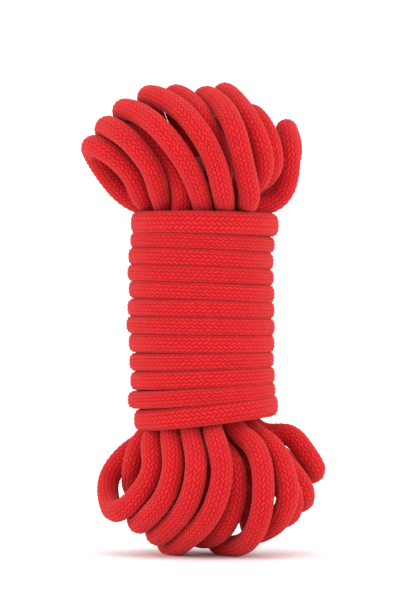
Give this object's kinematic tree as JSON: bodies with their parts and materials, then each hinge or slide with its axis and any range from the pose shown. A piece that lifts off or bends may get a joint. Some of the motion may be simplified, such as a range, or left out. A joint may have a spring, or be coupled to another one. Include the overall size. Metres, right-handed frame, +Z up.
{
  "type": "lead rope",
  "caption": "Soft braided cotton lead rope tied in an upright hank: its folds fan out as loops above and below a waist bound with turns of the same rope.",
  "frame": {"origin": "on the floor, under the middle of the hank's outline", "axes": "+Z up along the hank's length, +X to its right seen from the front, front towards -Y"},
  "size_m": [0.0759, 0.0605, 0.148],
  "materials": {
    "rope_cotton": "matte braided cotton, dyed bright red",
    "whipping_twine": "fine waxed twine, dyed red"
  },
  "bodies": {
    "root": {"waist_bundle": "rope_cotton", "upper_loop_01": "rope_cotton", "upper_loop_02": "rope_cotton", "upper_loop_03": "rope_cotton", "upper_loop_04": "rope_cotton", "upper_loop_05": "rope_cotton", "upper_loop_06": "rope_cotton", "upper_loop_07": "rope_cotton", "upper_loop_08": "rope_cotton", "upper_loop_09": "rope_cotton", "upper_loop_10": "rope_cotton", "lower_loop_01": "rope_cotton", "lower_loop_02": "rope_cotton", "lower_loop_03": "rope_cotton", "lower_loop_04": "rope_cotton", "lower_loop_05": "rope_cotton", "lower_loop_06": "rope_cotton", "lower_loop_07": "rope_cotton", "lower_loop_08": "rope_cotton", "lower_loop_09": "rope_cotton", "start_fold": "rope_cotton", "binding_lead": "rope_cotton", "binding_turn_01": "rope_cotton", "binding_turn_02": "rope_cotton", "binding_turn_03": "rope_cotton", "binding_turn_04": "rope_cotton", "binding_turn_05": "rope_cotton", "binding_turn_06": "rope_cotton", "binding_turn_07": "rope_cotton", "binding_turn_08": "rope_cotton", "binding_turn_09": "rope_cotton", "binding_turn_10": "rope_cotton", "binding_turn_11": "rope_cotton", "binding_turn_12": "rope_cotton", "tail": "rope_cotton", "start_whipping": "whipping_twine", "tail_whipping": "whipping_twine"}
  },
  "joints": []
}
